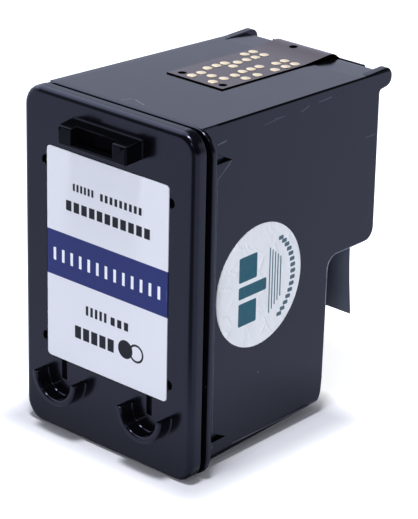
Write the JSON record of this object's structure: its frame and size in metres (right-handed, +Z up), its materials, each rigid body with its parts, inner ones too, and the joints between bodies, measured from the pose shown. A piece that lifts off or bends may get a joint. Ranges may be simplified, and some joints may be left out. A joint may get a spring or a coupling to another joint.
{
  "type": "inkjet ink cartridge",
  "caption": "Box-shaped inkjet cartridge: lidded ink body, overhanging printhead snout, folded contact circuit on top, front label, side sticker and hanging nozzle tape.",
  "frame": {"origin": "centre of the bottom of the bounding box", "axes": "+Z up, -Y towards the lid with the label, +Y towards the printhead snout, +X across the cartridge towards the side sticker"},
  "size_m": [0.0346, 0.05, 0.0536],
  "materials": {
    "body_plastic": "moulded semi-gloss black",
    "lid_plastic": "moulded semi-gloss black",
    "foam": "open-cell foam, ink soaked",
    "steel_mesh": "woven mesh",
    "polyimide": "satin film",
    "gold": "gold plated",
    "silicon": "polished",
    "nozzle_foil": "satin foil",
    "epoxy": "cured resin",
    "paper_label": "coated white with a blue band",
    "paper_sticker": "coated white with a teal print",
    "tape_film": "thin dark film",
    "rubber": "moulded rubber"
  },
  "bodies": {
    "root": {"body_shell": "body_plastic", "lid": "lid_plastic", "foam_block": "foam", "filter_screen": "steel_mesh", "flex_circuit": "polyimide", "contact_pad_01": "gold", "contact_pad_02": "gold", "contact_pad_03": "gold", "contact_pad_04": "gold", "contact_pad_05": "gold", "contact_pad_06": "gold", "contact_pad_07": "gold", "contact_pad_08": "gold", "contact_pad_09": "gold", "contact_pad_10": "gold", "contact_pad_11": "gold", "contact_pad_12": "gold", "contact_pad_13": "gold", "contact_pad_14": "gold", "contact_pad_15": "gold", "contact_pad_16": "gold", "contact_pad_17": "gold", "contact_pad_18": "gold", "contact_pad_19": "gold", "contact_pad_20": "gold", "contact_pad_21": "gold", "contact_pad_22": "gold", "contact_pad_23": "gold", "contact_pad_24": "gold", "contact_pad_25": "gold", "contact_pad_26": "gold", "printhead_die": "silicon", "nozzle_plate": "nozzle_foil", "bond_bead_upper": "epoxy", "bond_bead_lower": "epoxy", "front_label": "paper_label", "side_sticker": "paper_sticker", "nozzle_tape": "tape_film", "fill_plug": "rubber"}
  },
  "joints": []
}
